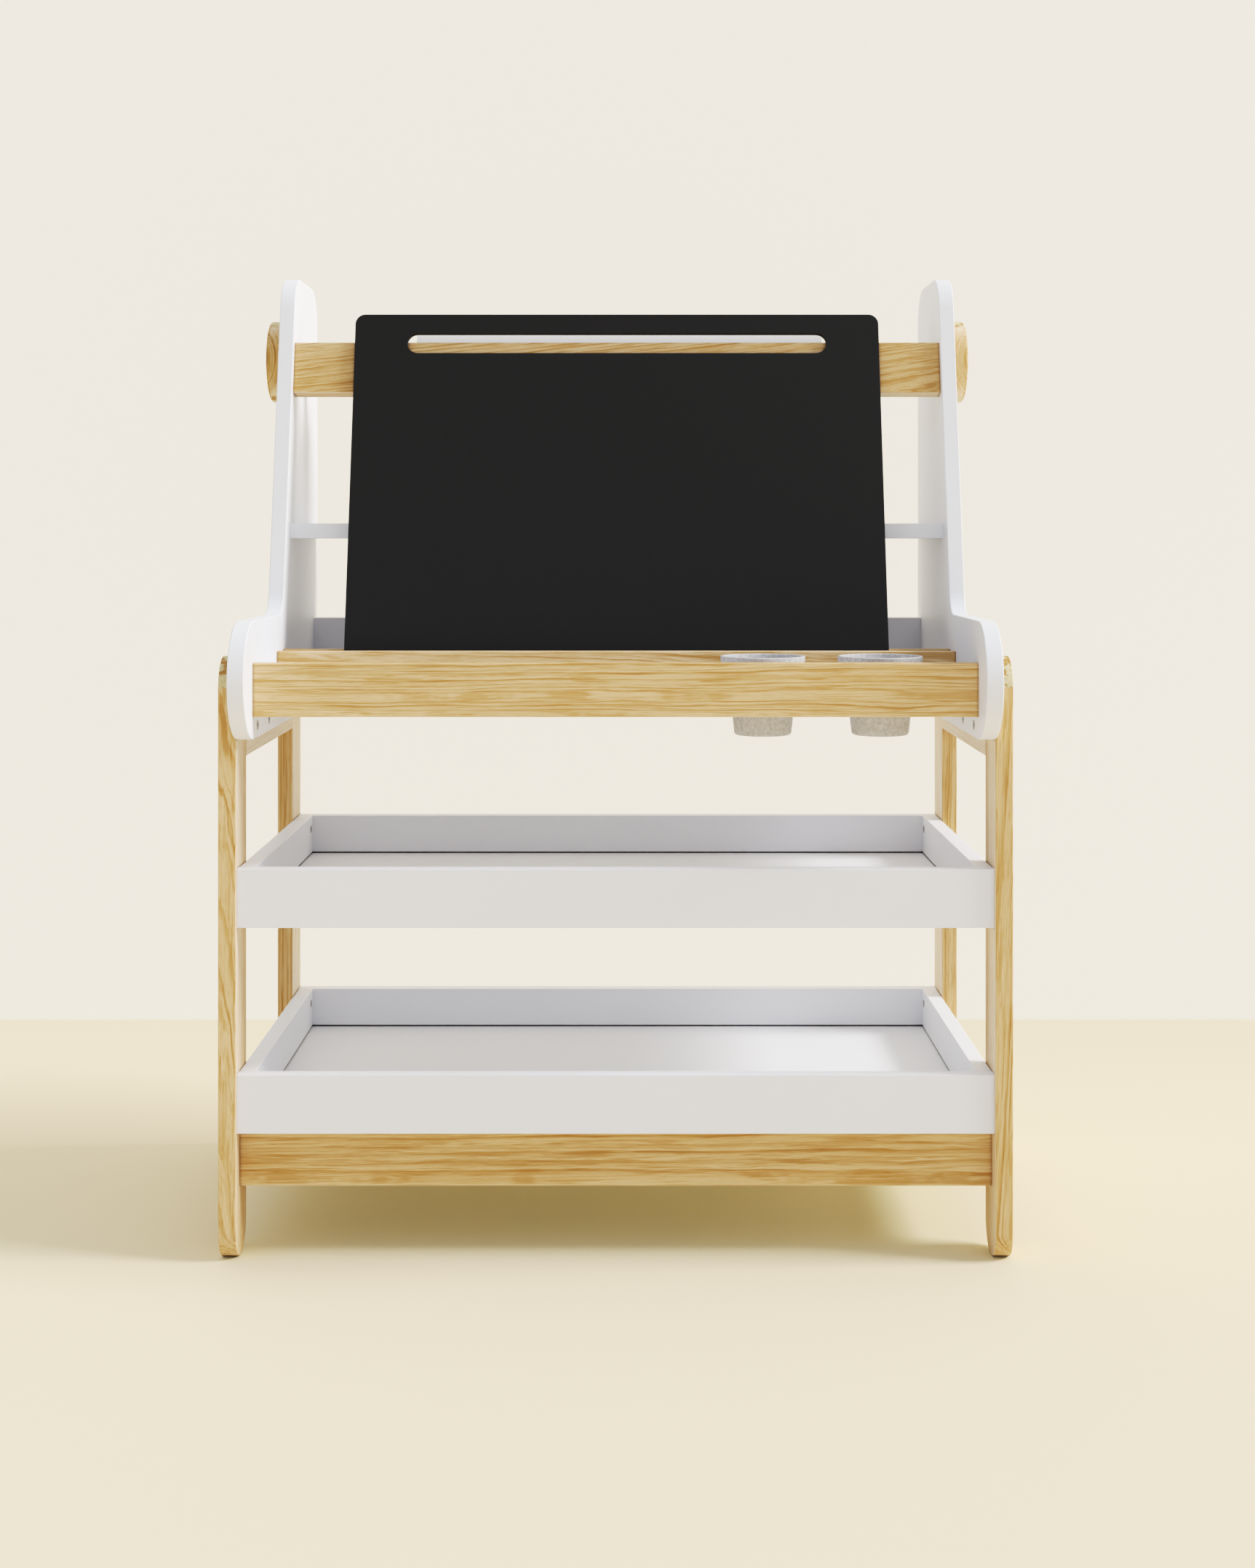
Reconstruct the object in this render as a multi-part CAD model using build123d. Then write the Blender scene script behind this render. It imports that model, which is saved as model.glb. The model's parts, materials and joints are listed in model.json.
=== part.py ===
from build123d import *
import os
from math import asin, cos, degrees, radians, sin, sqrt, tan

# A child's easel cart: four pine legs carry two trays and two tall side panels. Rails between
# the panels hold an art tray, a chalkboard, a shelf and a roll of paper on a dowel.
# Millimetres. X runs across, Y to the back and Z up. The origin is on the floor, midway
# between the two sides and midway between the front and the back of the side panels.

# Board stock
PINE = 18.0                 # thickness of a pine rail
LEG_THICK = 17.5
WALL = 16.5                 # painted board
TRAY_BOARD = 12.0           # floors of the art tray and the rear bin
TRAY_PANEL = 5.2            # loose panel in the bottom of each lower tray
EASE = 1.0                  # rounding on the long edges of a board

# Legs
INNER_HALF = 374.0          # from the middle to the inner face of a leg
LEG_DEEP = 60.0
LEG_TALL = 597.0
FOOT_FLAT = 12.0            # sanded flat under each rounded foot
FRONT_FACE = -200.0         # front faces of the front legs
FRONT_LEG_Y = FRONT_FACE + LEG_DEEP / 2
REAR_LEG_Y = 196.0
SIDE_RAIL_Y = (FRONT_LEG_Y + LEG_DEEP / 2, REAR_LEG_Y - LEG_DEEP / 2)
SIDE_RAIL_Z = (494.0, 550.5)

# Trays between the legs, and the aprons under the lower one
TRAY_Y = (FRONT_FACE + 5.5, REAR_LEG_Y + LEG_DEEP / 2 + 0.5)
TRAY_TALL = 58.4
TRAY_BASES = {"lower_tray": 126.2, "middle_tray": 329.5}
GROOVE_Z = (9.2, 16.2)      # above the base of the tray
GROOVE_DEEP = 5.0
PANEL_SLACK = 0.5           # between the edge of the loose panel and the groove
APRON_TALL = 56.5
APRON_BEVEL = 3.0

# Side panels
PANEL_BASE = 515.7
PANEL_TOP = 1005.0
PANEL_BACK = 250.0
NOSE_R = 58.6
NOSE_FRONT = -250.0
LEAN = 13.9                 # degrees that the upper front edge leans back
LEAN_POINT = (-3.6, 654.7)  # a point on that edge, Y and Z
NECK_R = 28.0               # hollow between the nose and the leaning edge
TOP_FRONT_R = 45.0
TOP_BACK_R = 42.0
PANEL_INNER = INNER_HALF - WALL

# Rails between the panels: (Y low, Y high), (Z low, Z high)
RAIL_TOP = 594.7
FRONT_RAIL = ((FRONT_FACE, FRONT_FACE + PINE), (538.3, 591.3))
TRAY_BACK = ((-52.0, -52.0 + PINE), (538.3, RAIL_TOP))
CHANNEL_RAIL = ((-12.6, -12.6 + PINE), (538.3, RAIL_TOP))
REAR_RAIL = ((221.9, 221.9 + WALL), (538.3, 619.5))
SHELF = ((40.0, 238.4), (713.4, 729.9))
FLOOR_TOP = 562.0           # top of the art tray floor and of the bin floor
LEDGE_TOP = 567.7           # where the foot of the chalkboard stands

# Crossbar, tilted with the panels
CROSSBAR_TALL = 58.0
CROSSBAR_TOP = (73.1, 930.9)    # its upper front edge, Y and Z

# Chalkboard
BOARD_WIDE = 580.0
BOARD_THICK = 6.0
BOARD_LEAN = 15.5
BOARD_TOP_Z = 962.3
BOARD_CORNER_R = 11.0
BOARD_GAP = 0.3             # clear of the crossbar and the art tray back
SLOT_WIDE = 463.4
SLOT_TALL = 22.8
SLOT_DROP = 34.0            # middle of the paper slot below the top edge, along the board

# Paper roll and its dowel
ROLL_AXIS = (147.0, 914.6)  # Y and Z
ROLL_X = 2.6                # middle of the roll, as it lies on the dowel
ROLL_LONG = 457.2
ROLL_R = 38.0
CORE_OUTER_R = 15.5
CORE_INNER_R = 12.7
CORE_FIT = 0.05
DOWEL_R = 11.0
DOWEL_HOLE_R = 11.6
KNOB_R = 45.8
KNOB_FACE = 394.5           # outer face of a knob, from the middle
KNOB_THICK = 19.5
KNOB_EDGE_R = 3.0
KNOB_BORE_DEEP = 12.0
KNOB_GLUED_FIT = 0.05
KNOB_RUNNING_FIT = 0.1

# Cups that hang in the floor of the art tray
CUP_XS = {"cup_inner": 150.0, "cup_outer": 270.0}
CUP_Y = -117.0
CUP_TOP = 594.0
CUP_BASE = 513.5
CUP_RIM_R = 43.5
CUP_COLLAR_R = 40.3         # underside of the collar, which rests on the floor board
CUP_NECK_R = 34.0
CUP_FOOT_R = 28.9
CUP_WALL = 3.5
CUP_HOLE_R = 35.2

# Fasteners
BOLT_R = 3.0
PANEL_BOLT_Z = 528.0
PANEL_BOLT_HEAD = (4.9, 0.5)    # radius and height of the head
TRAY_BOLT_DROP = 14.1           # below the rim of the tray
TRAY_BOLT_HEAD = (4.2, 0.5)
SOCKET_R = 2.0                  # hexagonal key socket in the heads, across its corners
SOCKET_DEEP = 2.5
SIDE_RAIL_BOLT_INSET = 40.0     # from the end of the side rail
INSERT_R = 4.8
INSERT_LONG = 12.0
SCREW_R = 2.5
SCREW_LONG = 45.0
SCREW_HEAD = (4.5, 3.5)
SCREW_SUNK = 0.4                # head below the face of the panel
SCREW_DRIVE = (1.75, 1.5)       # radius and depth of the recess in the head
RAIL_SCREW_Z = (555.0, 579.0)
REAR_RAIL_SCREW_Z = (558.0, 598.0)
SHELF_SCREW_Y = (80.0, 200.0)
FLOOR_SCREW_Y = (-150.0, -84.0, 50.0, 175.0)
CROSSBAR_SCREW_INSET = 14.0     # from the upper and lower edges of the crossbar
PEG_R = 4.0
PEG_LONG = 29.0
PEG_IN_LEG = 12.0               # of an apron's peg, in the leg
PEG_IN_WALL = 11.0              # of a tray's peg, in its front or rear wall
SIDE_RAIL_PEG_Z = (507.0, 538.0)
TRAY_PEG_Z = (22.0, 34.0)       # above the base of the tray
APRON_PEG_DROP = (42.0, 16.0)   # below the top of an apron or a lower side rail
HOLE_FIT = 0.1                  # radial room round a bolt, screw, insert or peg

SIDES = {"left": -1, "right": 1}
CORNERS = [(side, y) for side in SIDES.values() for y in (FRONT_LEG_Y, REAR_LEG_Y)]


def span(*pairs):
    """Plain block from its (low, high) pairs along X, Y and Z."""
    size = [high - low for low, high in pairs]
    middle = [(low + high) / 2 for low, high in pairs]
    return Pos(*middle) * Box(*size)


def board(x, y, z, along=Axis.X, ease=EASE):
    """Block with the edges that run along one axis eased."""
    block = span(x, y, z)
    return fillet(block.edges().filter_by(along), ease)


def sided(side, inner, outer):
    """(low, high) along X of something between two distances from the middle."""
    return (inner, outer) if side > 0 else (-outer, -inner)


def rod_x(side, start, end, y, z, radius):
    """Round bar along X between two distances from the middle of the cart."""
    low, high = sided(side, start, end)
    return Pos((low + high) / 2, y, z) * Rot(0, 90, 0) * Cylinder(radius, high - low)


def rod_y(x, start, end, z, radius):
    """Round bar along Y."""
    return Pos(x, (start + end) / 2, z) * Rot(90, 0, 0) * Cylinder(radius, end - start)


def cut(solid, tools):
    for tool in tools:
        solid = solid - tool
    return solid


def write(name, shape):
    export_step(shape, f"parts/{name}.step")


# Fastener positions -----------------------------------------------------------------------


def panel_bolt_points():
    """Y and Z of the bolts from one side panel into its legs and side rail."""
    inner = (SIDE_RAIL_Y[0] + SIDE_RAIL_BOLT_INSET, SIDE_RAIL_Y[1] - SIDE_RAIL_BOLT_INSET)
    return [(y, PANEL_BOLT_Z) for y in (FRONT_LEG_Y, *inner, REAR_LEG_Y)]


def tray_bolt_heights():
    return [base + TRAY_TALL - TRAY_BOLT_DROP for base in TRAY_BASES.values()]


def middle(pair):
    return (pair[0] + pair[1]) / 2


def crossbar_point(across, along):
    """Y and Z inside the crossbar, from its upper front edge."""
    tilt = radians(LEAN)
    y = CROSSBAR_TOP[0] + across * cos(tilt) - along * sin(tilt)
    z = CROSSBAR_TOP[1] - across * sin(tilt) - along * cos(tilt)
    return (y, z)


def panel_screw_points():
    """Y and Z of the screws from outside a panel into the ends of the rails and boards."""
    points = []
    for y_pair, _ in (FRONT_RAIL, TRAY_BACK, CHANNEL_RAIL):
        points += [(middle(y_pair), z) for z in RAIL_SCREW_Z]
    points += [(middle(REAR_RAIL[0]), z) for z in REAR_RAIL_SCREW_Z]
    points += [(y, middle(SHELF[1])) for y in SHELF_SCREW_Y]
    points += [(y, FLOOR_TOP - TRAY_BOARD / 2) for y in FLOOR_SCREW_Y]
    along_bar = (CROSSBAR_SCREW_INSET, CROSSBAR_TALL - CROSSBAR_SCREW_INSET)
    points += [crossbar_point(PINE / 2, along) for along in along_bar]
    return points


def lower_peg_heights():
    return [TRAY_BASES["lower_tray"] - drop for drop in APRON_PEG_DROP]


def side_rail_pegs():
    """X, start Y, end Y and Z of the pegs that join the side rails to the legs."""
    pegs = []
    for side in SIDES.values():
        x = side * (INNER_HALF + LEG_THICK / 2)
        for z in (*SIDE_RAIL_PEG_Z, *lower_peg_heights()):
            for end in SIDE_RAIL_Y:
                pegs.append((x, end - PEG_LONG / 2, end + PEG_LONG / 2, z))
    return pegs


def tray_pegs():
    """The same for the corners of both trays."""
    pegs = []
    for side in SIDES.values():
        x = side * (INNER_HALF - WALL / 2)
        for base in TRAY_BASES.values():
            for z in TRAY_PEG_Z:
                front = TRAY_Y[0] + WALL - PEG_IN_WALL
                rear = TRAY_Y[1] - WALL + PEG_IN_WALL
                pegs.append((x, front, front + PEG_LONG, base + z))
                pegs.append((x, rear - PEG_LONG, rear, base + z))
    return pegs


def apron_pegs(extra=0.0):
    """Pegs between the ends of the aprons and the legs."""
    start = INNER_HALF + PEG_IN_LEG - PEG_LONG
    end = INNER_HALF + PEG_IN_LEG
    return [rod_x(side, start, end, y, z, PEG_R + extra)
            for side, y in CORNERS for z in lower_peg_heights()]


def y_pegs(points, extra=0.0):
    return [rod_y(*point, PEG_R + extra) for point in points]


# Legs, side rails, aprons and trays -------------------------------------------------------


def leg(side, centre_y):
    """Flat leg whose two ends are full half rounds, with a narrow flat under the foot."""
    radius = LEG_DEEP / 2
    foot = radius - sqrt(radius ** 2 - (FOOT_FLAT / 2) ** 2)
    outline = Plane.YZ * Rot(0, 0, 90) * SlotOverall(LEG_TALL + foot, LEG_DEEP)
    body = extrude(outline, LEG_THICK / 2, both=True)
    body = fillet(body.edges().filter_by(Axis.X, reverse=True), EASE)
    centre_x = side * (INNER_HALF + LEG_THICK / 2)
    body = Pos(centre_x, centre_y, (LEG_TALL - foot) / 2) * body
    below = span((centre_x - LEG_THICK, centre_x + LEG_THICK),
                 (centre_y - LEG_DEEP, centre_y + LEG_DEEP), (-10.0, 0.0))
    inserts = [rod_x(side, INNER_HALF - 1.0, INNER_HALF + INSERT_LONG, centre_y, z,
                     INSERT_R + HOLE_FIT) for z in (*tray_bolt_heights(), PANEL_BOLT_Z)]
    pegs = y_pegs(side_rail_pegs(), HOLE_FIT) + apron_pegs(HOLE_FIT)
    return cut(body, [below, *inserts, *pegs])


def side_rail(side, z):
    """Rail between the front and the rear leg of one side, in line with both."""
    body = board(sided(side, INNER_HALF, INNER_HALF + LEG_THICK), SIDE_RAIL_Y, z, Axis.Y)
    return cut(body, y_pegs(side_rail_pegs(), HOLE_FIT))


def upper_side_rail(side):
    """The side rail that the panel is bolted to."""
    inserts = [rod_x(side, INNER_HALF - 1.0, INNER_HALF + INSERT_LONG, y, z,
                     INSERT_R + HOLE_FIT) for y, z in panel_bolt_points()[1:3]]
    return cut(side_rail(side, SIDE_RAIL_Z), inserts)


def lower_side_rail(side):
    """The side rail under the lower tray, level with the aprons."""
    top = TRAY_BASES["lower_tray"]
    return side_rail(side, (top - APRON_TALL, top))


def apron(centre_y):
    """Rail under the lower tray, with its two lower edges bevelled."""
    top = TRAY_BASES["lower_tray"]
    body = span((-INNER_HALF, INNER_HALF), (centre_y - PINE / 2, centre_y + PINE / 2),
                (top - APRON_TALL, top))
    lower = body.edges().filter_by(Axis.X).group_by(Axis.Z)[0]
    return cut(chamfer(lower, APRON_BEVEL), apron_pegs(HOLE_FIT))


def tray_groove(base):
    """Space that the loose panel slides in, around the inside of a tray."""
    half = PANEL_INNER + GROOVE_DEEP
    y = (TRAY_Y[0] + WALL - GROOVE_DEEP, TRAY_Y[1] - WALL + GROOVE_DEEP)
    return span((-half, half), y, (base + GROOVE_Z[0], base + GROOVE_Z[1]))


def tray_cross_wall(base, y):
    body = board((-INNER_HALF, INNER_HALF), y, (base, base + TRAY_TALL))
    return cut(body, [tray_groove(base), *y_pegs(tray_pegs(), HOLE_FIT)])


def tray_side_wall(side, base):
    y = (TRAY_Y[0] + WALL, TRAY_Y[1] - WALL)
    x = sided(side, PANEL_INNER, INNER_HALF)
    body = board(x, y, (base, base + TRAY_TALL), Axis.Y)
    bolt_z = base + TRAY_TALL - TRAY_BOLT_DROP
    bolts = [rod_x(side, PANEL_INNER - 1.0, INNER_HALF + 1.0, leg_y, bolt_z, BOLT_R + HOLE_FIT)
             for leg_y in (FRONT_LEG_Y, REAR_LEG_Y)]
    return cut(body, [tray_groove(base), *bolts, *y_pegs(tray_pegs(), HOLE_FIT)])


def tray_panel(base):
    half = PANEL_INNER + GROOVE_DEEP - PANEL_SLACK
    inset = WALL - GROOVE_DEEP + PANEL_SLACK
    z = base + GROOVE_Z[0]
    return span((-half, half), (TRAY_Y[0] + inset, TRAY_Y[1] - inset), (z, z + TRAY_PANEL))


# Side panels and what runs between them ---------------------------------------------------


def lean_y(z):
    """Y of the leaning front edge of a panel at a height."""
    return LEAN_POINT[0] + (z - LEAN_POINT[1]) * tan(radians(LEAN))


def corner(polygon, y, z, radius):
    """Round one corner of a flat outline."""
    nearest = polygon.vertices().sort_by_distance((y, z, 0))[0]
    return fillet(nearest, radius)


def panel_outline():
    """Boot shape in Y and Z: a round nose, a hollow neck and a leaning upper edge."""
    nose_y = NOSE_FRONT + NOSE_R
    shoulder = PANEL_BASE + 2 * NOSE_R
    points = [(NOSE_FRONT, PANEL_BASE), (PANEL_BACK, PANEL_BASE), (PANEL_BACK, PANEL_TOP),
              (lean_y(PANEL_TOP), PANEL_TOP), (lean_y(shoulder), shoulder),
              (nose_y, shoulder)]
    nose_base = (nose_y, PANEL_BASE)
    edges = Polyline(nose_base, *points[1:])
    nose = ThreePointArc(points[-1], (NOSE_FRONT, PANEL_BASE + NOSE_R), nose_base)
    outline = make_face([*edges.edges(), nose.edge()])
    outline = corner(outline, PANEL_BACK, PANEL_TOP, TOP_BACK_R)
    outline = corner(outline, lean_y(PANEL_TOP), PANEL_TOP, TOP_FRONT_R)
    return corner(outline, lean_y(shoulder), shoulder, NECK_R)


def side_panel(side):
    body = extrude(Plane.YZ * panel_outline(), WALL / 2, both=True)
    body = fillet(body.edges().filter_by(Axis.X, reverse=True), EASE)
    body = Pos(side * (INNER_HALF - WALL / 2), 0, 0) * body
    tools = [rod_x(side, PANEL_INNER - 1.0, INNER_HALF + 1.0, y, z, BOLT_R + HOLE_FIT)
             for y, z in panel_bolt_points()]
    tools.append(rod_x(side, PANEL_INNER - 1.0, INNER_HALF + 1.0, *ROLL_AXIS, DOWEL_HOLE_R))
    for y, z in panel_screw_points():
        tools.append(rod_x(side, PANEL_INNER - 1.0, INNER_HALF + 1.0, y, z, SCREW_R + HOLE_FIT))
        tools.append(rod_x(side, INNER_HALF - SCREW_SUNK - SCREW_HEAD[1], INNER_HALF + 1.0,
                           y, z, SCREW_HEAD[0] + HOLE_FIT))
    return cut(body, tools)


def screw_shanks():
    """Holes for the shanks of the panel screws, at both ends of every rail."""
    start = INNER_HALF - SCREW_SUNK - SCREW_LONG
    return [rod_x(side, start, INNER_HALF, y, z, SCREW_R + HOLE_FIT)
            for side in SIDES.values() for y, z in panel_screw_points()]


def between(y, z, ease=EASE):
    """Board from panel to panel, drilled for its screws."""
    return cut(board((-PANEL_INNER, PANEL_INNER), y, z, Axis.X, ease), screw_shanks())


def crossbar():
    block = board((-PANEL_INNER, PANEL_INNER), (0.0, PINE), (-CROSSBAR_TALL, 0.0))
    tilted = Pos(0, *CROSSBAR_TOP) * Rot(-LEAN, 0, 0) * block
    return cut(tilted, screw_shanks())


def art_tray_floor():
    y = (FRONT_RAIL[0][1], TRAY_BACK[0][0])
    floor = between(y, (FLOOR_TOP - TRAY_BOARD, FLOOR_TOP), 0.4)
    holes = [Pos(x, CUP_Y, FLOOR_TOP) * Cylinder(CUP_HOLE_R, 4 * TRAY_BOARD)
             for x in CUP_XS.values()]
    return cut(floor, holes)


def bin_floor():
    return between((CHANNEL_RAIL[0][1], REAR_RAIL[0][0]), (FLOOR_TOP - TRAY_BOARD, FLOOR_TOP), 0.4)


def channel_ledge():
    """Strip in the bottom of the chalkboard's channel."""
    y = (TRAY_BACK[0][1], CHANNEL_RAIL[0][0])
    return board((-PANEL_INNER, PANEL_INNER), y, (LEDGE_TOP - PINE, LEDGE_TOP), Axis.X, 0.4)


# Chalkboard -------------------------------------------------------------------------------


def board_back_y(z):
    """Y of the back face of the chalkboard at a height."""
    clear = BOARD_GAP / cos(radians(BOARD_LEAN))
    return CROSSBAR_TOP[0] - clear + (z - CROSSBAR_TOP[1]) * tan(radians(BOARD_LEAN))


def board_front_y(z):
    return board_back_y(z) - BOARD_THICK / cos(radians(BOARD_LEAN))


def board_foot():
    """Y and Z of the front lower edge, which meets the back of the art tray."""
    y = TRAY_BACK[0][1] + BOARD_GAP
    z = RAIL_TOP + (y - board_front_y(RAIL_TOP)) / tan(radians(BOARD_LEAN))
    return (y, z)


def board_length():
    return (BOARD_TOP_Z - board_foot()[1]) / cos(radians(BOARD_LEAN))


def chalkboard():
    """Flat board with a slot for the paper, stood in the channel and leant on the crossbar."""
    length = board_length()
    sheet = Pos(0, length / 2) * RectangleRounded(BOARD_WIDE, length, BOARD_CORNER_R)
    slot = Pos(0, length - SLOT_DROP) * SlotOverall(SLOT_WIDE, SLOT_TALL)
    body = extrude(Plane.XZ * (sheet - slot), -BOARD_THICK)
    body = fillet(body.edges().filter_by(Axis.Y, reverse=True), 0.6)
    return Pos(0, *board_foot()) * Rot(-BOARD_LEAN, 0, 0) * body


# Paper roll, dowel and knobs --------------------------------------------------------------


def tube_x(half_length, outer_r, inner_r):
    ring = Cylinder(outer_r, 2 * half_length) - Cylinder(inner_r, 3 * half_length)
    return Pos(ROLL_X, *ROLL_AXIS) * Rot(0, 90, 0) * ring


def roll_dowel():
    half = KNOB_FACE - KNOB_THICK + KNOB_BORE_DEEP - 1.0
    rod = chamfer(Cylinder(DOWEL_R, 2 * half).edges(), 1.0)
    return Pos(0, *ROLL_AXIS) * Rot(0, 90, 0) * rod


def knob(side, fit):
    """Flat disc with a blind bore for the end of the dowel."""
    disc = Cylinder(KNOB_R, KNOB_THICK)
    disc = fillet(disc.edges().sort_by(Axis.Z)[-1], KNOB_EDGE_R)
    disc = chamfer(disc.edges().sort_by(Axis.Z)[0], EASE)
    bore = Pos(0, 0, -KNOB_THICK / 2) * Cylinder(DOWEL_R + fit, 2 * KNOB_BORE_DEEP)
    centre = side * (KNOB_FACE - KNOB_THICK / 2)
    return Pos(centre, *ROLL_AXIS) * Rot(0, 90 * side, 0) * (disc - bore)


# Cups -------------------------------------------------------------------------------------


def cup(x):
    """Drop-in cup: a collar that hangs on the floor board over a narrower tapering body."""
    step = FLOOR_TOP
    taper = degrees(asin((CUP_NECK_R - CUP_FOOT_R) / (step - CUP_BASE)))
    inner_step = step + CUP_WALL
    foot_inner = CUP_FOOT_R - CUP_WALL
    neck_inner = foot_inner + (inner_step - CUP_BASE - CUP_WALL) * tan(radians(taper))
    collar_inner = CUP_COLLAR_R - CUP_WALL
    rim_inner = CUP_RIM_R - CUP_WALL
    profile = Polyline((0, CUP_BASE), (CUP_FOOT_R, CUP_BASE), (CUP_NECK_R, step),
                       (CUP_COLLAR_R, step), (CUP_RIM_R, CUP_TOP), (rim_inner, CUP_TOP),
                       (collar_inner, inner_step), (neck_inner, inner_step),
                       (foot_inner, CUP_BASE + CUP_WALL), (0, CUP_BASE + CUP_WALL),
                       (0, CUP_BASE))
    section = make_face(profile.edges())
    section = corner(section, CUP_FOOT_R, CUP_BASE, 3.5)
    section = corner(section, foot_inner, CUP_BASE + CUP_WALL, 3.0)
    section = corner(section, CUP_COLLAR_R, step, 1.0)
    section = corner(section, neck_inner, inner_step, 1.2)
    section = corner(section, collar_inner, inner_step, 1.2)
    section = corner(section, CUP_RIM_R, CUP_TOP, 1.2)
    section = corner(section, rim_inner, CUP_TOP, 1.2)
    return Pos(x, CUP_Y, 0) * revolve(Plane.XZ * section, Axis.Z)


# Fasteners --------------------------------------------------------------------------------


def hex_bolt(side, y, z, face, head, length):
    """Round-headed bolt with a hexagonal key socket, driven outwards from an inner face."""
    radius, height = head
    shank = rod_x(side, face, face + length, y, z, BOLT_R)
    cap = rod_x(side, face - height, face, y, z, radius)
    socket = extrude(Plane.YZ * RegularPolygon(SOCKET_R, 6), SOCKET_DEEP, both=True)
    return shank + cap - Pos(side * (face - height), y, z) * socket


def panel_bolts():
    length = WALL + INSERT_LONG - 1.0
    return [hex_bolt(side, y, z, PANEL_INNER, PANEL_BOLT_HEAD, length)
            for side in SIDES.values() for y, z in panel_bolt_points()]


def tray_bolts():
    length = WALL + INSERT_LONG - 1.0
    return [hex_bolt(side, y, z, PANEL_INNER, TRAY_BOLT_HEAD, length)
            for side, y in CORNERS for z in tray_bolt_heights()]


def threaded_inserts():
    """Threaded bushes in the legs and side rails that the bolts screw into."""
    places = [(side, y, z) for side, y in CORNERS for z in tray_bolt_heights()]
    places += [(side, y, z) for side in SIDES.values() for y, z in panel_bolt_points()]
    return [rod_x(side, INNER_HALF, INNER_HALF + INSERT_LONG, y, z, INSERT_R)
            - rod_x(side, INNER_HALF - 1.0, INNER_HALF + 2 * INSERT_LONG, y, z, BOLT_R + HOLE_FIT)
            for side, y, z in places]


def panel_screws():
    """Flat-headed screws, heads just under the outer faces of the panels."""
    face = INNER_HALF - SCREW_SUNK
    screws = []
    for side in SIDES.values():
        for y, z in panel_screw_points():
            shank = rod_x(side, face - SCREW_LONG, face, y, z, SCREW_R)
            head = rod_x(side, face - SCREW_HEAD[1], face, y, z, SCREW_HEAD[0])
            drive = rod_x(side, face - SCREW_DRIVE[1], face + 1.0, y, z, SCREW_DRIVE[0])
            screws.append(shank + head - drive)
    return screws


def joining_pegs():
    return apron_pegs() + y_pegs(side_rail_pegs()) + y_pegs(tray_pegs())


# Writing the parts ------------------------------------------------------------------------

os.makedirs("parts", exist_ok=True)

for side_name, side_sign in SIDES.items():
    write(f"front_leg_{side_name}", leg(side_sign, FRONT_LEG_Y))
    write(f"rear_leg_{side_name}", leg(side_sign, REAR_LEG_Y))
    write(f"side_rail_{side_name}", upper_side_rail(side_sign))
    write(f"lower_side_rail_{side_name}", lower_side_rail(side_sign))
    write(f"side_panel_{side_name}", side_panel(side_sign))

write("front_apron", apron(FRONT_LEG_Y))
write("rear_apron", apron(REAR_LEG_Y))

for tray_name, tray_base in TRAY_BASES.items():
    write(f"{tray_name}_front", tray_cross_wall(tray_base, (TRAY_Y[0], TRAY_Y[0] + WALL)))
    write(f"{tray_name}_rear", tray_cross_wall(tray_base, (TRAY_Y[1] - WALL, TRAY_Y[1])))
    write(f"{tray_name}_left", tray_side_wall(-1, tray_base))
    write(f"{tray_name}_right", tray_side_wall(1, tray_base))
    write(f"{tray_name}_panel", tray_panel(tray_base))

write("front_rail", between(*FRONT_RAIL))
write("art_tray_back", between(*TRAY_BACK))
write("channel_rail", between(*CHANNEL_RAIL))
write("rear_rail", between(*REAR_RAIL))
write("mid_shelf", between(*SHELF))
write("crossbar", crossbar())
write("art_tray_floor", art_tray_floor())
write("bin_floor", bin_floor())
write("channel_ledge", channel_ledge())
write("chalkboard", chalkboard())

write("roll_dowel", roll_dowel())
write("knob_left", knob(-1, KNOB_GLUED_FIT))
write("knob_right", knob(1, KNOB_RUNNING_FIT))
write("paper_roll", tube_x(ROLL_LONG / 2, ROLL_R, CORE_OUTER_R + CORE_FIT))
write("paper_core", tube_x(ROLL_LONG / 2, CORE_OUTER_R, CORE_INNER_R))

for cup_name, cup_x in CUP_XS.items():
    write(cup_name, cup(cup_x))

write("panel_bolts", Compound(children=panel_bolts()))
write("tray_bolts", Compound(children=tray_bolts()))
write("threaded_inserts", Compound(children=threaded_inserts()))
write("panel_screws", Compound(children=panel_screws()))
write("joining_pegs", Compound(children=joining_pegs()))
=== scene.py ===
import json
import math

import bpy
from mathutils import Euler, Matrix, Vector


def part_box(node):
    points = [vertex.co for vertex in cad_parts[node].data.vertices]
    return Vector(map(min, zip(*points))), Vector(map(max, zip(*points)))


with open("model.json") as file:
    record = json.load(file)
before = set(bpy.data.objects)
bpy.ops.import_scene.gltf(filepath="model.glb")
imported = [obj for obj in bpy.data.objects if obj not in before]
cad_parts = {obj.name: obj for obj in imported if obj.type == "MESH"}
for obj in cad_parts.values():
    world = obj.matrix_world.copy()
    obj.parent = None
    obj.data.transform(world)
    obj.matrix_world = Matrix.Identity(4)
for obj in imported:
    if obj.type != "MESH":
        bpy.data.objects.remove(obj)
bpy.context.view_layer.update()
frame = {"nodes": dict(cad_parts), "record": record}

ALONG_X = Vector((1.0, 0.0, 0.0))
ALONG_Y = Vector((0.0, 1.0, 0.0))
ALONG_Z = Vector((0.0, 0.0, 1.0))
MM = 0.001


# Node helpers -----------------------------------------------------------------------------


def add(tree, kind, inputs=None, **settings):
    """One shader node. Inputs are values or the sockets that feed them."""
    made = tree.nodes.new(kind)
    for key, value in settings.items():
        setattr(made, key, value)
    for key, value in (inputs or {}).items():
        if isinstance(value, bpy.types.NodeSocket):
            tree.links.new(value, made.inputs[key])
        else:
            made.inputs[key].default_value = value
    return made


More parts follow.
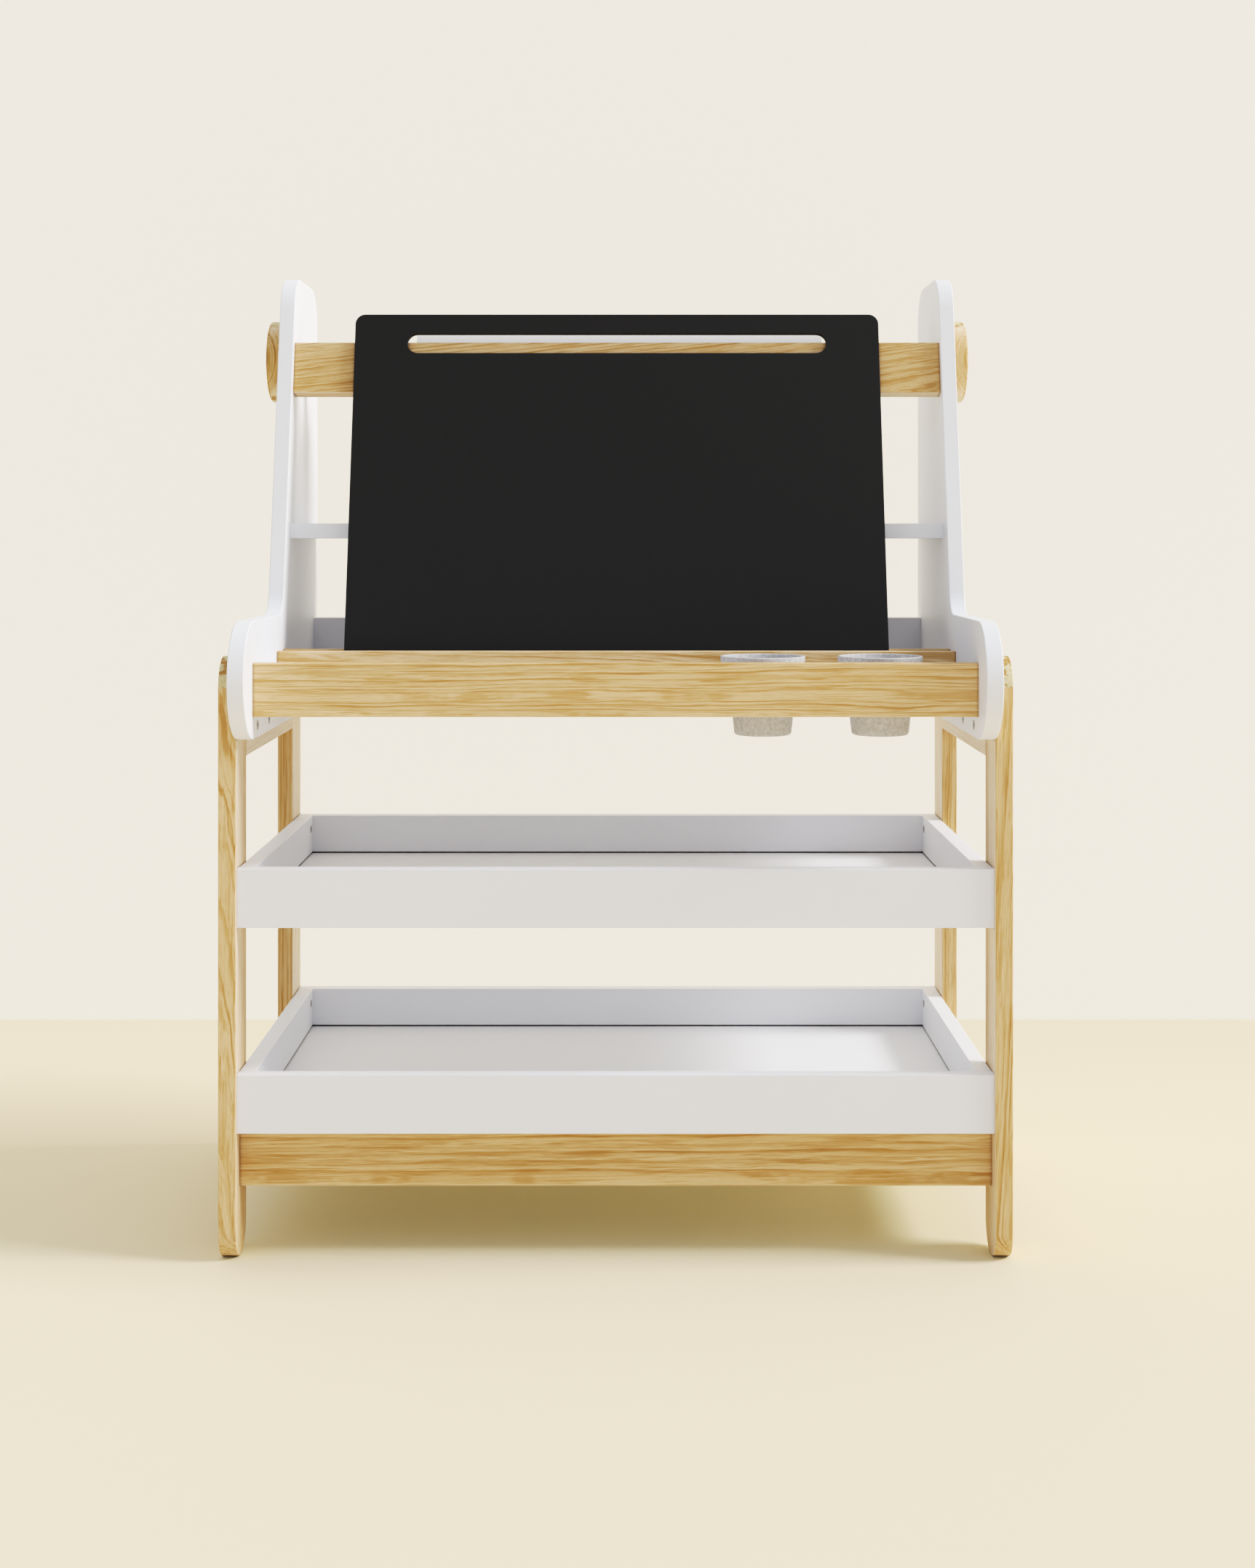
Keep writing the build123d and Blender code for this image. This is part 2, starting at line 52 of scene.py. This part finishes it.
def maths(tree, operation, *values):
    inputs = dict(enumerate(values))
    return add(tree, "ShaderNodeMath", inputs, operation=operation).outputs[0]


def noise(tree, vector, scale, detail=2.0, roughness=0.5, **more):
    inputs = {"Vector": vector, "Scale": scale, "Detail": detail, "Roughness": roughness}
    inputs.update(more)
    return add(tree, "ShaderNodeTexNoise", inputs).outputs["Fac"]


def stretched(tree, vector, scale):
    return add(tree, "ShaderNodeVectorMath", {0: vector, 1: scale}, operation="MULTIPLY").outputs[0]


def remap(tree, value, low, high, to_low=0.0, to_high=1.0, smooth=True):
    kind = "SMOOTHSTEP" if smooth else "LINEAR"
    inputs = {"Value": value, "From Min": low, "From Max": high,
              "To Min": to_low, "To Max": to_high}
    made = add(tree, "ShaderNodeMapRange", inputs, interpolation_type=kind, clamp=True)
    return made.outputs["Result"]


def mix(tree, factor, first, second, blend="MIX"):
    """Mixes two colours."""
    made = add(tree, "ShaderNodeMix", data_type="RGBA", blend_type=blend)
    for index, value in ((0, factor), (6, first), (7, second)):
        if isinstance(value, bpy.types.NodeSocket):
            tree.links.new(value, made.inputs[index])
        else:
            made.inputs[index].default_value = value
    return made.outputs[2]


def colour(text):
    """Linear colour of an sRGB hex triple."""
    parts = [int(text[i:i + 2], 16) / 255 for i in (0, 2, 4)]
    return (*[c / 12.92 if c <= 0.04045 else ((c + 0.055) / 1.055) ** 2.4 for c in parts], 1.0)


def material(name):
    made = bpy.data.materials.new(name)
    made.use_nodes = True
    made.node_tree.nodes.clear()
    return made, made.node_tree


def surface(tree, base, rough, height=None, depth=0.0, **fixed):
    """Principled surface and output. Height is a 0 to 1 texture, depth its relief in metres."""
    inputs = {"Base Color": base, "Roughness": rough}
    inputs.update(fixed)
    if height is not None:
        bump = add(tree, "ShaderNodeBump", {"Height": height, "Distance": depth, "Strength": 1.0})
        inputs["Normal"] = bump.outputs["Normal"]
    shader = add(tree, "ShaderNodeBsdfPrincipled", inputs)
    output = add(tree, "ShaderNodeOutputMaterial")
    tree.links.new(shader.outputs["BSDF"], output.inputs["Surface"])


def paint(node_names, made):
    for name in node_names:
        slots = frame["nodes"][name].data.materials
        slots.clear()
        slots.append(made)


# Pine -------------------------------------------------------------------------------------

RING_PEAK = 0.93            # how far through its ring the latewood is at its darkest
RING_DROP = 0.95            # how far through its ring the latewood starts to end

# Each colour on a quartered face, on a flat-sawn face of a light board, and on a dark board's
PALE = ("F3E0C9", "E6C69C", "C29C5A")
GOLD = ("E0C6A0", "BA8A43", "98691F")
DEEP = ("C9A876", "A67434", "85561A")
END_GRAIN = ("A87A3E", "D8CDA2")
END_PORES = "8A6432"
# Painted shade for the inside corners where boards meet
PAINTED_CORNER_SHADE = "6B4A22"


def pine_group():
    """Growth rings about the Z axis. Gives the latewood, the streaks and the fine fibre."""
    tree = bpy.data.node_groups.new("pine_rings", "ShaderNodeTree")
    face = tree.interface
    for name, kind in (("Vector", "NodeSocketVector"), ("Normal", "NodeSocketVector"),
                       ("Ring", "NodeSocketFloat"), ("Late", "NodeSocketFloat"),
                       ("Wander", "NodeSocketFloat")):
        face.new_socket(name, in_out="INPUT", socket_type=kind)
    for name in ("Latewood", "Line", "Streak", "Fibre", "Patch", "Flat"):
        face.new_socket(name, in_out="OUTPUT", socket_type="NodeSocketFloat")
    given = tree.nodes.new("NodeGroupInput").outputs
    place = given["Vector"]

    # The rings wander by a few millimetres, slowly along the grain and faster across it.
    slow = add(tree, "ShaderNodeTexNoise", {"Vector": stretched(tree, place, (22.0, 22.0, 4.6)),
                                            "Scale": 1.0, "Detail": 3.0, "Roughness": 0.55})
    centred = add(tree, "ShaderNodeVectorMath", {0: slow.outputs["Color"], 1: (0.5, 0.5, 0.5)},
                  operation="SUBTRACT").outputs[0]
    drift = add(tree, "ShaderNodeVectorMath", {0: centred, "Scale": given["Wander"]},
                operation="SCALE").outputs[0]
    moved = add(tree, "ShaderNodeVectorMath", {0: place, 1: drift}, operation="ADD").outputs[0]
    parts = add(tree, "ShaderNodeSeparateXYZ", {0: moved}).outputs
    squares = [maths(tree, "MULTIPLY", parts[i], parts[i]) for i in (0, 1)]
    radius = maths(tree, "SQRT", maths(tree, "ADD", *squares))
    count = maths(tree, "DIVIDE", radius, given["Ring"])

    # Rings are not all as wide, and their edges waver a little along the grain.
    uneven = add(tree, "ShaderNodeTexNoise", {"W": maths(tree, "MULTIPLY", count, 0.55),
                                              "Scale": 1.0, "Detail": 1.0},
                 noise_dimensions="1D").outputs["Fac"]
    waver = noise(tree, stretched(tree, place, (420.0, 420.0, 16.0)), 1.0, 2.0)
    count = maths(tree, "ADD", count, maths(tree, "MULTIPLY", uneven, 1.6))
    count = maths(tree, "ADD", count, maths(tree, "MULTIPLY", waver, 0.34))
    within = maths(tree, "FRACT", count)
    number = maths(tree, "FLOOR", count)

    # Latewood darkens through the ring and ends sharply where the next ring starts.
    start = maths(tree, "SUBTRACT", RING_PEAK, given["Late"])
    rising = remap(tree, within, start, RING_PEAK)
    ending = remap(tree, within, RING_DROP, 1.0, 1.0, 0.0)
    strength = add(tree, "ShaderNodeTexWhiteNoise", {"W": number},
                   noise_dimensions="1D").outputs["Value"]
    strength = remap(tree, strength, 0.0, 1.0, 0.6, 1.0, smooth=False)
    late = maths(tree, "MULTIPLY", maths(tree, "MULTIPLY", rising, ending), strength)
    broken = noise(tree, stretched(tree, place, (160.0, 160.0, 9.0)), 1.0, 3.0, 0.6)
    late = maths(tree, "MULTIPLY", late, remap(tree, broken, 0.34, 0.6, 0.4, 1.0))

    # Thin darker lines run along the rings, several to each ring.
    along = maths(tree, "MULTIPLY", parts[2], 13.0)
    flow = add(tree, "ShaderNodeCombineXYZ", {0: maths(tree, "MULTIPLY", count, 3.0), 2: along})
    thin = noise(tree, flow.outputs[0], 1.0, 3.0, 0.6)
    line = remap(tree, thin, 0.49, 0.61)

    # How squarely the surface faces the heart: 1 on a flat-sawn face, 0 on a quartered one.
    outward = add(tree, "ShaderNodeVectorMath", {0: stretched(tree, place, (1.0, 1.0, 0.0))},
                  operation="NORMALIZE").outputs[0]
    squarely = add(tree, "ShaderNodeVectorMath", {0: outward, 1: given["Normal"]},
                   operation="DOT_PRODUCT").outputs["Value"]
    flat = remap(tree, maths(tree, "ABSOLUTE", squarely), 0.15, 0.75)

    streak = noise(tree, stretched(tree, place, (520.0, 520.0, 11.0)), 1.0, 3.0, 0.6)
    fibre = noise(tree, stretched(tree, place, (2600.0, 2600.0, 60.0)), 1.0, 2.0, 0.6)
    patch = noise(tree, stretched(tree, place, (30.0, 30.0, 5.0)), 1.0, 2.0)
    output = tree.nodes.new("NodeGroupOutput")
    for name, value in (("Latewood", late), ("Line", line), ("Streak", streak),
                        ("Fibre", fibre), ("Patch", patch), ("Flat", flat)):
        tree.links.new(value, output.inputs[name])
    return tree


PINE_RINGS = pine_group()


def pine(node_name, grain, heart, lean, ring=4.0, late=0.5, wander=7.0, tone=0.0, swap=False,
         ends=0.03):
    """Pine of one board. The heart of its tree lies heart away from the middle of the board,
    in millimetres across the grain, and leans by lean across each metre along it. Swapped boards
    are golden on their quartered faces instead of on their flat-sawn ones. The near end of
    the grain shows where the surface turns to it by more than ends, the far one where it is square."""
    low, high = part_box(node_name)
    across = [axis for axis in (ALONG_X, ALONG_Y, ALONG_Z) if axis != grain]
    offset = across[0] * heart[0] + across[1] * heart[1]
    direction = (grain + across[0] * lean[0] + across[1] * lean[1]).normalized()
    point = (low + high) / 2 + offset * MM
    turn = direction.rotation_difference(ALONG_Z)
    shift = -(turn @ point)
    made, tree = material(f"pine_{node_name}")
    place = add(tree, "ShaderNodeTexCoord").outputs["Object"]
    log = add(tree, "ShaderNodeMapping", {"Vector": place, "Location": shift,
                                          "Rotation": turn.to_euler()}).outputs["Vector"]
    normal = add(tree, "ShaderNodeTexCoord").outputs["Normal"]
    turned = add(tree, "ShaderNodeMapping", {"Vector": normal, "Rotation": turn.to_euler()},
                 vector_type="VECTOR").outputs["Vector"]
    rings = add(tree, "ShaderNodeGroup", node_tree=PINE_RINGS)
    tree.links.new(log, rings.inputs["Vector"])
    tree.links.new(turned, rings.inputs["Normal"])
    rings.inputs["Ring"].default_value = ring * MM
    rings.inputs["Late"].default_value = late
    rings.inputs["Wander"].default_value = wander * MM
    latewood, line, streak, fibre, patch, flat = [
        rings.outputs[n] for n in ("Latewood", "Line", "Streak", "Fibre", "Patch", "Flat")]

    # Each colour differs with the tone of the board, and is paler on a quartered face.
    if swap:
        flat = maths(tree, "SUBTRACT", 1.0, flat)
    pale, gold, deep = [
        mix(tree, flat, colour(quartered), mix(tree, tone, colour(light), colour(dark)))
        for quartered, light, dark in (PALE, GOLD, DEEP)]
    base = mix(tree, remap(tree, patch, 0.35, 0.65), pale, mix(tree, 0.2, pale, gold))
    base = mix(tree, maths(tree, "MULTIPLY", line, 0.58), base, gold)
    base = mix(tree, latewood, base, gold)
    accent = maths(tree, "MULTIPLY", latewood, line)
    base = mix(tree, maths(tree, "MULTIPLY", accent, 0.8), base, deep)
    base = mix(tree, remap(tree, streak, 0.52, 0.68, 0.0, 0.6), base, gold)
    base = mix(tree, remap(tree, streak, 0.28, 0.44, 0.45, 0.0), base, pale)
    base = mix(tree, remap(tree, fibre, 0.4, 0.7, 0.0, 0.3), base, deep)

    # End grain drinks the lacquer unevenly, so it is blotched and shows its pores.
    facing = add(tree, "ShaderNodeVectorMath", {0: normal, 1: grain},
                 operation="DOT_PRODUCT").outputs["Value"]
    end = maths(tree, "ADD", remap(tree, facing, ends, ends + 0.05),
                remap(tree, facing, -0.9, -0.84, 1.0, 0.0))
    blotch = noise(tree, place, 90.0, 3.0, 0.6)
    pores = noise(tree, place, 1900.0, 2.0, 0.7)
    cut = mix(tree, remap(tree, blotch, 0.44, 0.53), *[colour(text) for text in END_GRAIN])
    cut = mix(tree, maths(tree, "MULTIPLY", latewood, 0.3), cut, deep)
    cut = mix(tree, remap(tree, pores, 0.35, 0.7, 0.0, 0.4), cut, colour(END_PORES))
    base = mix(tree, end, base, cut)

    # Painted shade: a thin dark line where the board meets its neighbour in a corner, where little of the
    # room is seen.
    corner = add(tree, "ShaderNodeAmbientOcclusion", {"Distance": 0.005}, samples=8).outputs["AO"]
    base = mix(tree, remap(tree, corner, 0.5, 0.85, 0.6, 0.0), base, colour(PAINTED_CORNER_SHADE))

    rough = maths(tree, "ADD", remap(tree, latewood, 0.0, 1.0, 0.52, 0.44),
                  maths(tree, "MULTIPLY", fibre, 0.12))
    relief = maths(tree, "ADD", maths(tree, "MULTIPLY", fibre, 0.7), latewood)
    surface(tree, base, rough, relief, 0.00006, **{"Specular IOR Level": 0.4})
    paint([node_name], made)
    return made


PLANKS = [
    # node, grain, heart, lean, then what differs from the usual pine
    ("front_leg_left", ALONG_Z, (-12.0, 38.0), (0.012, 0.03), dict(ring=3.2, late=0.4)),
    ("front_leg_right", ALONG_Z, (-21.0, 30.0), (0.03, -0.01),
     dict(ring=2.8, late=0.6, wander=3.0, tone=0.15)),
    ("rear_leg_left", ALONG_Z, (64.0, -24.0), (0.01, 0.01), dict(ring=5.2, late=0.6, tone=0.35, swap=True)),
    ("rear_leg_right", ALONG_Z, (-62.0, -22.0), (0.015, 0.01), dict(ring=4.6, tone=0.15, swap=True)),
    ("side_rail_left", ALONG_Y, (5.0, -62.0), (0.01, 0.03), dict(ring=3.4, late=0.3)),
    ("side_rail_right", ALONG_Y, (-4.0, -58.0), (-0.01, 0.02), dict(ring=3.8, late=0.3)),
    ("lower_side_rail_left", ALONG_Y, (-6.0, 64.0), (0.01, -0.02), dict(ring=4.2)),
    ("lower_side_rail_right", ALONG_Y, (7.0, 55.0), (0.01, 0.02), dict(ring=3.6)),
    ("front_apron", ALONG_X, (62.0, -46.0), (0.01, 0.018), dict(ring=5.2, late=0.6, tone=0.22)),
    ("rear_apron", ALONG_X, (-58.0, 40.0), (0.02, 0.02), dict(ring=4.8, late=0.6, tone=0.6)),
    ("front_rail", ALONG_X, (60.0, -58.0), (0.012, 0.016), dict(ring=3.4, late=0.5)),
    ("art_tray_back", ALONG_X, (70.0, -8.0), (0.02, 0.01), dict(ring=3.6, tone=0.12)),
    ("channel_rail", ALONG_X, (50.0, -36.0), (0.01, 0.02), dict(tone=0.2)),
    ("channel_ledge", ALONG_X, (30.0, -46.0), (0.0, 0.02), dict(tone=0.3)),
    ("crossbar", ALONG_X, (50.0, -72.0), (-0.02, 0.09), dict(ring=3.4, late=0.55, tone=0.35)),
    ("roll_dowel", ALONG_X, (20.0, 30.0), (0.01, 0.01), dict(ring=2.2, late=0.4)),
    ("knob_left", ALONG_Z, (70.0, 30.0), (0.01, 0.02),
     dict(ring=3.4, late=0.6, wander=3.0, tone=0.7, ends=0.8)),
    ("knob_right", ALONG_Z, (-70.0, 36.0), (0.01, 0.02),
     dict(ring=2.6, late=0.6, wander=3.0, tone=0.15, ends=0.8)),
    ("joining_pegs", ALONG_X, (0.0, 200.0), (0.0, 0.0), dict(ring=2.5)),
]


# Painted boards ---------------------------------------------------------------------------


def white_paint():
    """Satin paint, rolled on: a faint orange peel. Narrow grooves and tight inside corners carry a painted
    near-black shade.
    """
    made, tree = material("white_paint")
    place = add(tree, "ShaderNodeTexCoord").outputs["Object"]
    peel = noise(tree, place, 620.0, 3.0, 0.55)
    cloud = noise(tree, place, 7.0, 3.0, 0.5)
    base = mix(tree, remap(tree, cloud, 0.3, 0.7), colour("ECEEF5"), colour("EEF0F7"))
    specks = noise(tree, place, 1500.0, 1.0)
    base = mix(tree, remap(tree, specks, 0.72, 0.8, 0.0, 0.2), base, colour("CFCBC4"))
    # Painted shade: narrow grooves and tight inside corners, where little of the room is seen, turn nearly
    # black.
    open_sky = add(tree, "ShaderNodeAmbientOcclusion", {"Distance": 0.006}, samples=8)
    painted_groove_shade = remap(tree, open_sky.outputs["AO"], 0.2, 0.42, 1.0, 0.0)
    base = mix(tree, painted_groove_shade, base, colour("3A332B"))
    rough = maths(tree, "ADD", remap(tree, cloud, 0.3, 0.7, 0.40, 0.48),
                  maths(tree, "MULTIPLY", peel, 0.08))
    surface(tree, base, rough, peel, 0.00003, **{"Specular IOR Level": 0.42})
    return made


# Chalkboard -------------------------------------------------------------------------------


def chalk_surface():
    """Matt black coating with a fine tooth and the ghost of wiped chalk."""
    made, tree = material("chalk_surface")
    place = add(tree, "ShaderNodeTexCoord").outputs["Object"]
    tooth = noise(tree, place, 1800.0, 3.0, 0.7)
    wiped = noise(tree, stretched(tree, place, (5.0, 5.0, 9.0)), 1.0, 4.0, 0.6)
    base = mix(tree, remap(tree, wiped, 0.35, 0.75, 0.0, 1.0), colour("191919"), colour("1D1C1D"))
    base = mix(tree, remap(tree, tooth, 0.5, 0.9, 0.0, 0.25), base, colour("292827"))
    rough = remap(tree, wiped, 0.3, 0.7, 0.62, 0.74)
    surface(tree, base, rough, tooth, 0.00004, **{"Specular IOR Level": 0.25})
    return made


# Cups -------------------------------------------------------------------------------------


def cup_speckle():
    """Pale grey moulded fibre with mottling and small light and dark flecks."""
    made, tree = material("cup_speckle")
    place = add(tree, "ShaderNodeTexCoord").outputs["Object"]
    mottle = noise(tree, place, 260.0, 4.0, 0.65)
    grain = noise(tree, place, 900.0, 3.0, 0.7)
    base = mix(tree, remap(tree, mottle, 0.35, 0.66), colour("B9B7B8"), colour("D2CFCF"))
    base = mix(tree, remap(tree, grain, 0.52, 0.72, 0.0, 0.6), base, colour("948C81"))
    base = mix(tree, remap(tree, grain, 0.28, 0.42, 0.55, 0.0), base, colour("E6E2DB"))
    cells = add(tree, "ShaderNodeTexVoronoi", {"Vector": place, "Scale": 520.0})
    flecks = remap(tree, cells.outputs["Distance"], 0.1, 0.22, 0.5, 0.0)
    base = mix(tree, flecks, base, colour("7F7972"))
    rough = remap(tree, grain, 0.2, 0.8, 0.62, 0.8)
    surface(tree, base, rough, grain, 0.00008, **{"Specular IOR Level": 0.3})
    return made


# Paper, card and metal --------------------------------------------------------------------


def radial(tree, place, centre):
    """Distance from the line along X through a point."""
    moved = add(tree, "ShaderNodeVectorMath", {0: place, 1: centre}, operation="SUBTRACT").outputs[0]
    parts = add(tree, "ShaderNodeSeparateXYZ", {0: moved}).outputs
    squares = [maths(tree, "MULTIPLY", parts[i], parts[i]) for i in (1, 2)]
    return maths(tree, "SQRT", maths(tree, "ADD", *squares))


def wound_paper(centre):
    """Drawing paper: smooth outside, and the edges of its turns on the ends of the roll."""
    made, tree = material("wound_paper")
    place = add(tree, "ShaderNodeTexCoord").outputs["Object"]
    tooth = noise(tree, place, 1200.0, 4.0, 0.6)
    radius = radial(tree, place, centre)
    turns = add(tree, "ShaderNodeTexNoise", {"W": maths(tree, "MULTIPLY", radius, 2600.0),
                                             "Scale": 1.0, "Detail": 3.0},
                noise_dimensions="1D").outputs["Fac"]
    normal = add(tree, "ShaderNodeTexCoord").outputs["Normal"]
    facing = add(tree, "ShaderNodeSeparateXYZ", {0: normal}).outputs[0]
    end = remap(tree, maths(tree, "ABSOLUTE", facing), 0.5, 0.8)
    lines = maths(tree, "MULTIPLY", end, remap(tree, turns, 0.42, 0.7))
    base = mix(tree, remap(tree, tooth, 0.3, 0.7), colour("D4D3D2"), colour("E1DFDD"))
    base = mix(tree, maths(tree, "MULTIPLY", lines, 0.55), base, colour("B8B1A6"))
    height = maths(tree, "ADD", tooth, maths(tree, "MULTIPLY", lines, -2.0))
    surface(tree, base, 0.85, height, 0.00005, **{"Specular IOR Level": 0.2})
    return made


def core_card():
    """Grey-brown card, wound in a spiral strip."""
    made, tree = material("core_card")
    place = add(tree, "ShaderNodeTexCoord").outputs["Object"]
    fibre = noise(tree, stretched(tree, place, (400.0, 1400.0, 1400.0)), 1.0, 3.0, 0.7)
    base = mix(tree, remap(tree, fibre, 0.3, 0.7), colour("A88A66"), colour("BFA27C"))
    surface(tree, base, 0.8, fibre, 0.00008)
    return made


def metal(name, base_hex, rough):
    made, tree = material(name)
    place = add(tree, "ShaderNodeTexCoord").outputs["Object"]
    grain = noise(tree, place, 1400.0, 3.0, 0.6)
    dark = tuple(0.8 * c for c in colour(base_hex)[:3]) + (1.0,)
    base = mix(tree, remap(tree, grain, 0.3, 0.7), dark, colour(base_hex))
    uneven = remap(tree, grain, 0.2, 0.8, rough - 0.06, rough + 0.1)
    surface(tree, base, uneven, grain, 0.00002, Metallic=1.0)
    return made


# Stage ------------------------------------------------------------------------------------


def backdrop_material(name, base_hex, one_sided=False, glow=0.0, painted_shade_hex=None):
    """Plain paint. Where little of the room is seen from it, it turns to a painted shade colour."""
    made, tree = material(name)
    base = colour(base_hex)
    if painted_shade_hex:
        # Painted shade: where little of the room is seen, as under the easel, the floor takes a warmer,
        # lighter shade colour.
        room = add(tree, "ShaderNodeAmbientOcclusion", {"Distance": 0.4}, samples=8).outputs["AO"]
        base = mix(tree, remap(tree, room, 0.2, 0.5, 1.0, 0.0), colour(base_hex), colour(painted_shade_hex))
    shader = add(tree, "ShaderNodeBsdfPrincipled", {"Base Color": base,
                                                    "Roughness": 0.9,
                                                    "Specular IOR Level": 0.1,
                                                    "Emission Color": colour(base_hex),
                                                    "Emission Strength": glow})
    output = add(tree, "ShaderNodeOutputMaterial")
    result = shader.outputs["BSDF"]
    if one_sided:
        behind = add(tree, "ShaderNodeNewGeometry").outputs["Backfacing"]
        clear = add(tree, "ShaderNodeBsdfTransparent").outputs["BSDF"]
        result = add(tree, "ShaderNodeMixShader", {0: behind, 1: result, 2: clear}).outputs[0]
    tree.links.new(result, output.inputs["Surface"])
    return made


def sheet(name, corners, made):
    mesh = bpy.data.meshes.new(name)
    mesh.from_pydata(corners, [], [(0, 1, 2, 3)])
    mesh.materials.append(made)
    plate = bpy.data.objects.new(name, mesh)
    bpy.context.scene.collection.objects.link(plate)
    return plate


STAGE_HALF = 7.0
WALL_Y = 0.872              # the wall that closes the view, behind the easel
WALL_COLOUR = "8A857B"
WALL_GLOW = 3.45
FLOOR_COLOUR = "E9DAB9"
# Painted shade colour of the floor where little of the room is seen, under the easel
FLOOR_PAINTED_SHADE = "F3E5B9"

sheet("floor", [(-STAGE_HALF, -STAGE_HALF, 0), (STAGE_HALF, -STAGE_HALF, 0),
                (STAGE_HALF, STAGE_HALF, 0), (-STAGE_HALF, STAGE_HALF, 0)],
      backdrop_material("floor_paint", FLOOR_COLOUR, painted_shade_hex=FLOOR_PAINTED_SHADE))
sheet("backdrop", [(-STAGE_HALF, WALL_Y, 0), (STAGE_HALF, WALL_Y, 0),
                   (STAGE_HALF, WALL_Y, STAGE_HALF), (-STAGE_HALF, WALL_Y, STAGE_HALF)],
      backdrop_material("backdrop_paint", WALL_COLOUR, one_sided=True, glow=WALL_GLOW))


# Light ------------------------------------------------------------------------------------

KEY_STRENGTH = 3.25
KEY_UP = 35.5               # degrees above the floor
KEY_ASIDE = 6.0             # degrees from the right towards the front
KEY_ROWS = (-4.5, 0.0, 4.5)         # degrees up from the middle of the soft box to its suns
KEY_COLUMNS = (-8.0, 0.0, 8.0)      # degrees aside from the middle to its suns


def sun(name, travel, strength, tint, spread):
    light = bpy.data.lights.new(name, "SUN")
    light.energy = strength
    light.color = tint
    light.angle = math.radians(spread)
    lamp = bpy.data.objects.new(name, light)
    lamp.rotation_euler = travel.to_track_quat("-Z", "Y").to_euler()
    bpy.context.scene.collection.objects.link(lamp)


# The key light is a soft box to the right, made of rows and columns of suns.
key_share = KEY_STRENGTH / (len(KEY_ROWS) * len(KEY_COLUMNS))
for up in KEY_ROWS:
    for aside in KEY_COLUMNS:
        height = math.radians(KEY_UP + up)
        turned = math.radians(KEY_ASIDE + aside)
        travel = Vector((-math.cos(height) * math.cos(turned), math.cos(height) * math.sin(turned),
                         -math.sin(height)))
        sun("key", travel, key_share, (1.0, 0.99, 0.98), 8.0)
sun("ceiling", Vector((0.0, 0.0, -1.0)), 0.1, (1.0, 0.88, 0.5), 120.0)

world = bpy.data.worlds.new("room")
world.use_nodes = True
sky = world.node_tree.nodes["Background"].inputs
sky["Color"].default_value = (0.93, 0.985, 1.08, 1.0)
sky["Strength"].default_value = 0.60
bpy.context.scene.world = world


FILM_CURVE = [(0.0, 0.0), (0.02, 0.015), (0.1, 0.11), (0.2, 0.26), (0.4, 0.49), (0.75, 0.71),
              (1.0, 0.82), (1.5, 1.0)]


def film_response(points):
    """Soft shoulder of a print: mid tones are lifted and the brightest ones held back."""
    view = bpy.context.scene.view_settings
    view.view_transform = "Standard"
    view.use_curve_mapping = True
    mapping = view.curve_mapping
    mapping.use_clip = False
    mapping.extend = "EXTRAPOLATED"
    combined = mapping.curves[3]
    combined.points[0].location = points[0]
    combined.points[1].location = points[-1]
    for x, y in points[1:-1]:
        combined.points.new(x, y)
    mapping.update()


film_response(FILM_CURVE)


# Camera -----------------------------------------------------------------------------------

CAMERA_PLACE = (0.01175, -2.3446, 0.7217)
CAMERA_SHIFT = -0.1614      # the camera is level, and its frame reaches further down than up

camera_data = bpy.data.cameras.new("camera")
camera_data.lens = 50.0
camera_data.sensor_width = 36.0
camera_data.shift_y = CAMERA_SHIFT
camera = bpy.data.objects.new("camera", camera_data)
camera.location = CAMERA_PLACE
camera.rotation_euler = Euler((math.radians(90.0), 0.0, 0.0))
bpy.context.scene.collection.objects.link(camera)
bpy.context.scene.camera = camera


# Finishes ---------------------------------------------------------------------------------

for name, grain, heart, lean, more in PLANKS:
    pine(name, grain, heart, lean, **more)

slots = {}
for part in frame["record"]["subparts"]:
    slots.setdefault(part["material_slot"], []).append(part["node"])

low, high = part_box("paper_roll")
paint(slots["white_board"], white_paint())
paint(slots["chalk_surface"], chalk_surface())
paint(slots["cup_speckle"], cup_speckle())
paint(slots["drawing_paper"], wound_paper((low + high) / 2))
paint(slots["core_card"], core_card())
paint(slots["bolt_metal"], metal("bolt_zinc", "B9B7B3", 0.5))
paint(slots["screw_metal"], metal("screw_zinc", "B5B6B4", 0.35))
paint(slots["insert_metal"], metal("insert_brass", "C9A25A", 0.35))
